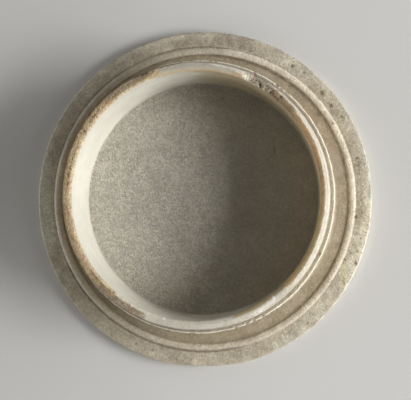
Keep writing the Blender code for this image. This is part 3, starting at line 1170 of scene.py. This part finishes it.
        # Dirt and painted shade in the creases, eased over some stretches.
        dirt_and_shade_share = facts["grime_and_shade"] * bench.ramp(patches.nearest(2.2), -0.25, 0.2, 0.4, 1.0)
        for eased in DIRT_AND_SHADE_EASED:
            dirt_and_shade_share = dirt_and_shade_share * (1.0 - eased.mask(place))
        colour = bench.blend(dirt_and_shade_share, colour, self.dirt_and_shade)
        calm = place.arc(188.0, 75.0, 25.0) * bench.ramp(place.radius, 43 * MM, 46 * MM) * 0.6
        calm = calm.most(bench.ramp(place.radius, 49.6 * MM, 50.6 * MM) * 0.4)
        calm = calm.most(place.ring(43.4 * MM, 47.2 * MM, 0.3 * MM) * 0.5)
        calm = calm + (1.0 - calm) * bench.ramp(place.radius, 37.8 * MM, 38.4 * MM) * 0.35
        rough = facts["grain"].most(facts["broken"])
        for stretch in ROUGHENED:
            rough = rough.most(stretch.mask(place))
        relief = self.relief(bench, point, rough * (1.0 - calm))
        bump = {"Strength": 1.0, "Distance": self.grain_depth, "Height": relief}
        looks = {
            "Base Color": colour,
            "Roughness": self.roughness,
            "Subsurface Weight": self.glow,
            "Subsurface Radius": self.glow_reach,
            "Subsurface Scale": 1.0 * MM,
            "Normal": bench.made("ShaderNodeBump", "Normal", bump),
        }
        shader = bench.add("ShaderNodeBsdfPrincipled", looks)
        output = bench.add("ShaderNodeOutputMaterial")
        material.node_tree.links.new(shader.outputs["BSDF"], output.inputs["Surface"])
        return material


@dataclass(frozen=True)
class CollarBreak:
    """The broken stretch of the collar's crown."""

    start_deg: float = 48.0
    outer_start_deg: float = 56.0
    end_deg: float = 69.5
    end_slope_deg: float = 6.5
    depth: float = 1.35 * MM
    roughness: float = 0.22 * MM
    margin: float = 1.5 * MM


class TurningTree:
    """The geometry tree that turns a section into a closed body, and wears and marks its surface."""

    KINDS = {int: "Int", float: "Float", tuple: "Vector", bpy.types.Material: "Material"}
    FACTS = ("grime_and_shade", "grain", "wear", "edge", "pitted", "rugged", "sharp")

    def __init__(self, values: dict[str, Any]) -> None:
        """Make the empty tree, with a named input for the section and for each value."""
        self.tree = bpy.data.node_groups.new("turned_body", "GeometryNodeTree")
        kinds = {"Section": "Geometry", **{name: self.KINDS[type(value)] for name, value in values.items()}}
        for name, kind in kinds.items():
            self.tree.interface.new_socket(name, in_out="INPUT", socket_type=f"NodeSocket{kind}")
        self.tree.interface.new_socket("Body", in_out="OUTPUT", socket_type="NodeSocketGeometry")
        self.bench = Bench(self.tree)
        entry = self.bench.add("NodeGroupInput")
        self.given = {name: self.bench.out(entry, name) for name in kinds}

    def named(self, name: str, kind: str = "FLOAT") -> Field:
        """A fact that the surface's points carry."""
        return self.bench.made("GeometryNodeInputNamedAttribute", "Attribute", {"Name": name}, data_type=kind)

    def sampled(self, geometry: Field, place: Field, name: str, kind: str = "FLOAT") -> Field:
        """Read one fact of one point of a geometry.

        Args:
            geometry: The geometry.
            place: Which point.
            name: The fact's name, or position.
            kind: Its data type.

        Returns:
            The fact's value.
        """
        if name == "position":
            source = self.bench.made("GeometryNodeInputPosition", "Position")
        else:
            source = self.named(name, kind)
        inputs = {"Geometry": geometry, "Value": source, "Index": place}
        return self.bench.made("GeometryNodeSampleIndex", "Value", inputs, data_type=kind, domain="POINT")

    def stored(self, body: Field, name: str, value: Field, kind: str = "FLOAT") -> Field:
        """Let the surface's points carry one more fact.

        Args:
            body: The surface.
            name: The fact's name.
            value: What each point carries.
            kind: Its data type.

        Returns:
            The surface with the fact.
        """
        inputs = {"Geometry": body, "Name": name, "Value": value}
        store = "GeometryNodeStoreNamedAttribute"
        return self.bench.made(store, "Geometry", inputs, data_type=kind, domain="POINT")

    def sunk(self, flat: Field, degrees: Field, shoulder: Field, crown: Field) -> Field:
        """How far the broken stretch of the collar has sunk.

        Args:
            flat: The unbroken point.
            degrees: Its place round the axis.
            shoulder: The height of the crown that it belongs to.
            crown: How much it sinks with the crown.

        Returns:
            The depth.
        """
        bench, given = self.bench, self.given
        start, end, inner = given["Break Start"], given["Break End"], given["Break Inner Radius"]
        reach = given["Break Outer Radius"] - inner
        across = ((Polar(bench, flat).radius - inner) / reach).clamped()
        start = start + (given["Break Outer Start"] - start) * across
        along = ((degrees - start) / (end - start)).clamped()
        face = bench.ramp(degrees, end, end - given["Break Slope"])
        inside = bench.math("SQRT", along) * face
        ragged = (bench.noise(flat, 0.9 * MM, 3.0, 0.6, given["Seed"]) - 0.5) * 3.0 * given["Break Roughness"]
        limit = given["Height"] - inside * given["Break Depth"] + ragged * face * bench.ramp(along, 0.0, 0.1)
        cut = bench.math("GREATER_THAN", inside, 0.0)
        return (shoulder - limit).most(0.0) * crown * cut

    def turned(self, outline: Field) -> Field:
        """Turn the outline, and sink the broken stretch of its crown.

        Args:
            outline: The section's points, in order.

        Returns:
            The surface, open along one seam.
        """
        bench, given = self.bench, self.given
        count = bench.made("GeometryNodeAttributeDomainSize", "Point Count", {"Geometry": outline})
        counts = {"Vertices X": given["Turn Steps"] + 1, "Vertices Y": count}
        grid = bench.made("GeometryNodeMeshGrid", "Mesh", counts)
        index = bench.made("GeometryNodeInputIndex", "Index")
        step = bench.math("FLOOR", index / count)
        read = partial(self.sampled, outline, index - step * count)
        radius, _, height = bench.split(read("position", "FLOAT_VECTOR"))
        turn = step / given["Turn Steps"] * math.tau
        flat = bench.join(radius * bench.math("COSINE", turn), radius * bench.math("SINE", turn), height)
        flat = bench.vector("ADD", flat, bench.vector("SCALE", given["Seat Drift"], read("drift")))
        shoulder, crown = read("shoulder"), read("crown")
        drop = self.sunk(flat, turn * math.degrees(1.0), shoulder, crown)
        lift = read("fall") * Polar(bench, flat).arc(180.0, 75.0, 30.0) * given["Crown Lift"]
        shaped = bench.join(*bench.split(flat)[:2], height - drop + lift)
        body = bench.made("GeometryNodeSetPosition", "Geometry", {"Geometry": grid, "Position": shaped})
        body = self.stored(body, "tone", read("tone", "FLOAT_COLOR"), "FLOAT_COLOR")
        for name in self.FACTS:
            body = self.stored(body, name, read(name))
        return self.stored(body, "broken", bench.ramp(drop, 0.0, 0.2 * MM))

    def worn(self, body: Field, marks: Field) -> Field:
        """Wear the surface: slow waves, a chipped edge, a pitted collar and the single marks.

        Args:
            body: The turned surface, already closed.
            marks: One point for each mark.

        Returns:
            The worn surface.
        """
        bench, given = self.bench, self.given
        spot, seed = bench.made("GeometryNodeInputPosition", "Position"), given["Seed"]
        around = Polar(bench, spot)
        wave = bench.noise(spot, 7 * MM, 3.0, 0.5, seed) * given["Waviness"] * self.named("wear")
        lumps = (bench.noise(spot, 2.6 * MM, 3.0, 0.6, seed) - 0.3).most(0.0)
        wave = wave + lumps * given["Lumpiness"] * self.named("rugged")
        ragged = bench.noise(spot, 0.8 * MM, 2.0, 0.6, seed)
        pitted = around.arc(174.0, 66.0, 2.0).most(around.arc(57.0, 9.0, 2.0))
        pit = bench.ramp(ragged, 0.56, 0.68) * self.named("pitted") * pitted
        chips = bench.ramp(bench.noise(spot, 2.4 * MM, 2.0, 0.6, seed), 0.56, 0.72)
        flat = around.arc(271.0, 7.0, 6.0)
        loss = (chips * 0.4 + flat) * self.named("edge")
        breaks = bench.ramp(bench.noise(spot, 1.5 * MM, 2.0, 0.6, seed + 3.0), 0.5, 0.62)
        loss = loss + breaks * self.named("sharp") * 0.35
        inputs = {"Geometry": marks, "Sample Position": spot}
        nearest = bench.made("GeometryNodeSampleNearest", "Index", inputs, domain="POINT")
        read = partial(self.sampled, marks, nearest)
        apart = bench.vector("DISTANCE", spot, read("position", "FLOAT_VECTOR"))
        reach = apart * (0.4 + ragged * 1.2) / read("size")
        mark = bench.ramp(reach, 1.0, 0.5)
        depth = wave + pit * given["Pit Depth"] + loss * given["Edge Loss"] + mark * read("depth")
        body = self.stored(body, "mark_tone", read("tone", "FLOAT_COLOR"), "FLOAT_COLOR")
        for name, value in (("mark", mark), ("pit", pit), ("sink", depth)):
            body = self.stored(body, name, value)
        normal = bench.made("GeometryNodeInputNormal", "Normal")
        inward = bench.vector("SCALE", normal, self.named("sink") * -1.0)
        return bench.made("GeometryNodeSetPosition", "Geometry", {"Geometry": body, "Offset": inward})

    def build(self) -> bpy.types.NodeTree:
        """Build the tree.

        Returns:
            The tree, ready for a modifier.
        """
        bench, given = self.bench, self.given
        parts = {"Geometry": given["Section"], "Selection": self.named("loose")}
        split = bench.add("GeometryNodeSeparateGeometry", parts, domain="POINT")
        marks, outline = bench.out(split, "Selection"), bench.out(split, "Inverted")
        seam = {"Geometry": self.turned(outline), "Distance": given["Merge Distance"]}
        body = self.worn(bench.made("GeometryNodeMergeByDistance", "Geometry", seam), marks)
        body = bench.made("GeometryNodeSetShadeSmooth", "Geometry", {"Geometry": body})
        body = bench.made("GeometryNodeRealizeInstances", "Geometry", {"Geometry": body})
        stone = {"Geometry": body, "Material": given["Stone"]}
        body = bench.made("GeometryNodeSetMaterial", "Geometry", stone)
        bench.feed(bench.add("NodeGroupOutput").inputs["Body"], body)
        return self.tree


@dataclass
class MarbleBody:
    """The turned body with its wear."""

    section: TurnedSection
    finish: StoneFinish
    damage: CollarBreak = field(default_factory=CollarBreak)
    turn_steps: int = 720
    seed: float = 11.0
    waviness: float = 0.06 * MM
    lumpiness: float = 0.4 * MM
    pit_depth: float = 0.16 * MM
    edge_loss: float = 0.4 * MM
    crown_lift: float = 1.0
    seat_drift: tuple[float, float, float] = (0.2 * MM, 0.02 * MM, 0.0)
    merge_distance: float = 0.001 * MM

    def outline(self) -> bpy.types.Mesh:
        """The section as a line of points, and each mark as a loose point, all with their facts.

        Returns:
            A mesh of points and edges.
        """
        stations = self.section.stations()
        edges = [(i, i + 1) for i in range(len(stations) - 1)]
        points = [(s.radius, 0.0, s.height) for s in stations]
        for mark in MARKS:
            angle, radius = math.radians(mark.angle_deg), mark.radius_mm * MM
            height = self.section.height_at(radius) - mark.drop_mm * MM
            points.append((radius * math.cos(angle), radius * math.sin(angle), height))
        mesh = bpy.data.meshes.new("section")
        mesh.from_pydata(points, edges, [])
        no_station, no_mark = [0.0] * len(stations), [0.0] * len(MARKS)
        names = ("grime_and_shade", "crown", "shoulder", "wear", "edge", "pitted", "fall", "rugged", "sharp", "drift")
        facts = {name: [getattr(s, name) for s in stations] + no_mark for name in names}
        facts["grain"] = [self.finish.coarseness(s.zone) for s in stations] + no_mark
        facts["size"] = no_station + [mark.size_mm * MM for mark in MARKS]
        facts["depth"] = no_station + [mark.depth_mm * MM for mark in MARKS]
        facts["loose"] = no_station + [1.0] * len(MARKS)
        for name, values in facts.items():
            mesh.attributes.new(name, "FLOAT", "POINT").data.foreach_set("value", values)
        tones = mesh.attributes.new("tone", "FLOAT_COLOR", "POINT")
        names = [s.zone for s in stations] + [mark.kind for mark in MARKS]
        colours = [self.finish.tone(name) for name in names]
        tones.data.foreach_set("color", [part for colour in colours for part in (*colour, 1.0)])
        return mesh

    def values(self) -> dict[str, Any]:
        """What the turning tree is given.

        Returns:
            The values, by the names of the tree's inputs.
        """
        section, damage = self.section, self.damage
        return {
            "Turn Steps": self.turn_steps,
            "Seed": self.seed,
            "Waviness": self.waviness,
            "Lumpiness": self.lumpiness,
            "Pit Depth": self.pit_depth,
            "Edge Loss": self.edge_loss,
            "Crown Lift": self.crown_lift,
            "Seat Drift": self.seat_drift,
            "Height": section.height,
            "Break Start": damage.start_deg,
            "Break Outer Start": damage.outer_start_deg,
            "Break End": damage.end_deg,
            "Break Slope": damage.end_slope_deg,
            "Break Depth": damage.depth,
            "Break Roughness": damage.roughness,
            "Break Inner Radius": section.well_radius - section.well_taper - damage.margin,
            "Break Outer Radius": section.collar_radius + damage.margin,
            "Merge Distance": self.merge_distance,
            "Stone": self.finish.material(),
        }

    def build(self) -> bpy.types.Object:
        """Turn the section into the finished body.

        Returns:
            The body, riding on the root and standing for the CAD node.
        """
        body = placed("marble_body", self.outline())
        modifier = body.modifiers.new("turned_body", "NODES")
        values = self.values()
        modifier.node_group = TurningTree(values).build()
        for item in modifier.node_group.interface.items_tree:
            if item.in_out == "INPUT" and item.name in values:
                modifier[item.identifier] = values[item.name]
        depsgraph = bpy.context.evaluated_depsgraph_get()
        turned = body.evaluated_get(depsgraph)
        mesh = bpy.data.meshes.new_from_object(turned, preserve_all_data_layers=True, depsgraph=depsgraph)
        body.modifiers.remove(modifier)
        body.data = mesh
        mesh.name = "marble_body"
        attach(body, ROOT_BODY)
        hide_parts(BODY_NODE)
        return body


@dataclass(frozen=True)
class PhotoCamera:
    """The camera at the photograph's viewing angle, with the picture's top towards +Y."""

    place: tuple[float, float, float] = (45.0 * MM, -19.6 * MM, 385.0 * MM)
    target: tuple[float, float, float] = (1.05 * MM, -0.5 * MM, 4.0 * MM)
    sensor: float = 36.0
    lens: float = 103.0
    clip: Pair = (0.01, 20.0)

    def build(self) -> bpy.types.Object:
        """Make the camera and use it.

        Returns:
            The camera.
        """
        data = bpy.data.cameras.new("photo_camera")
        data.sensor_width = self.sensor
        data.lens = self.lens
        camera = placed("photo_camera", data)
        back = (Vector(self.place) - Vector(self.target)).normalized()
        right = Vector((0.0, 1.0, 0.0)).cross(back).normalized()
        up = back.cross(right)
        turn = Matrix((right, up, back)).transposed().to_4x4()
        camera.matrix_world = Matrix.Translation(self.place) @ turn
        data.clip_start, data.clip_end = self.clip
        bpy.context.scene.camera = camera
        return camera


@dataclass(frozen=True)
class SoftLight:
    """A square soft light, placed by its direction from the object."""

    name: str
    azimuth_deg: float
    elevation_deg: float
    distance: float
    width: float
    depth: float
    power: float
    colour: Colour = (1.0, 1.0, 1.0)

    def build(self) -> bpy.types.Object:
        """Make the light.

        Returns:
            The light, turned to the object.
        """
        data = bpy.data.lights.new(self.name, "AREA")
        data.shape = "RECTANGLE"
        data.size, data.size_y = self.width, self.depth
        data.energy, data.color = self.power, self.colour
        lamp = placed(self.name, data)
        azimuth, elevation = math.radians(self.azimuth_deg), math.radians(self.elevation_deg)
        level = math.cos(elevation)
        back = Vector((level * math.cos(azimuth), level * math.sin(azimuth), math.sin(elevation)))
        lamp.location = back * self.distance
        lamp.rotation_euler = back.to_track_quat("Z", "Y").to_euler()
        return lamp


@dataclass(frozen=True)
class Studio:
    """The pale floor, the soft lights and the room's even light."""

    floor_size: float = 6.0
    floor_colour: Colour = (0.72, 0.71, 0.69)
    floor_roughness: float = 0.9
    room_colour: Colour = (1.0, 0.98, 0.95)
    room_strength: float = 0.1
    lights: tuple[SoftLight, ...] = (
        SoftLight("key", -6.0, 29.0, 1.2, 0.6, 0.3, 11.0),
        SoftLight("key_wide", -8.0, 20.0, 1.2, 2.4, 0.25, 12.5),
        SoftLight("side_top", 62.0, 20.0, 1.2, 0.6, 0.3, 0.3),
        SoftLight("side_bottom", -66.0, 20.0, 1.2, 0.6, 0.3, 0.8),
        SoftLight("fill_left", 184.0, 12.0, 1.2, 1.4, 0.2, 6.2),
    )

    def build(self) -> None:
        """Make the floor, the lights and the room's light."""
        half = self.floor_size / 2
        mesh = bpy.data.meshes.new("floor")
        corners = [(-half, -half, 0.0), (half, -half, 0.0), (half, half, 0.0), (-half, half, 0.0)]
        mesh.from_pydata(corners, [], [(0, 1, 2, 3)])
        floor = placed("floor", mesh)
        material = bpy.data.materials.new("pale_floor")
        material.use_nodes = True
        shader = material.node_tree.nodes["Principled BSDF"]
        shader.inputs["Base Color"].default_value = (*self.floor_colour, 1.0)
        shader.inputs["Roughness"].default_value = self.floor_roughness
        mesh.materials.append(material)
        for light in self.lights:
            light.build()
        world = bpy.data.worlds.new("room")
        world.use_nodes = True
        backdrop = world.node_tree.nodes["Background"]
        backdrop.inputs["Color"].default_value = (*self.room_colour, 1.0)
        backdrop.inputs["Strength"].default_value = self.room_strength
        bpy.context.scene.world = world


def main() -> None:
    """Build the body, the studio and the camera, and log the body and the camera."""
    logging.basicConfig(level=logging.INFO, format="%(name)s: %(message)s")
    _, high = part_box(BODY_NODE)
    section = TurnedSection(foot_radius=high.x, height=high.z)
    body = MarbleBody(section, StoneFinish()).build()
    log.info("%s: %d faces, %.1f mm across", body.name, len(body.data.polygons), body.dimensions.x / MM)
    Studio().build()
    camera = PhotoCamera().build()
    log.info("%s: %.1f mm lens, %d by %d", camera.name, camera.data.lens, PHOTO_WIDTH, PHOTO_HEIGHT)
    bpy.context.scene.view_settings.view_transform = "Standard"


if __name__ == "__main__":
    main()
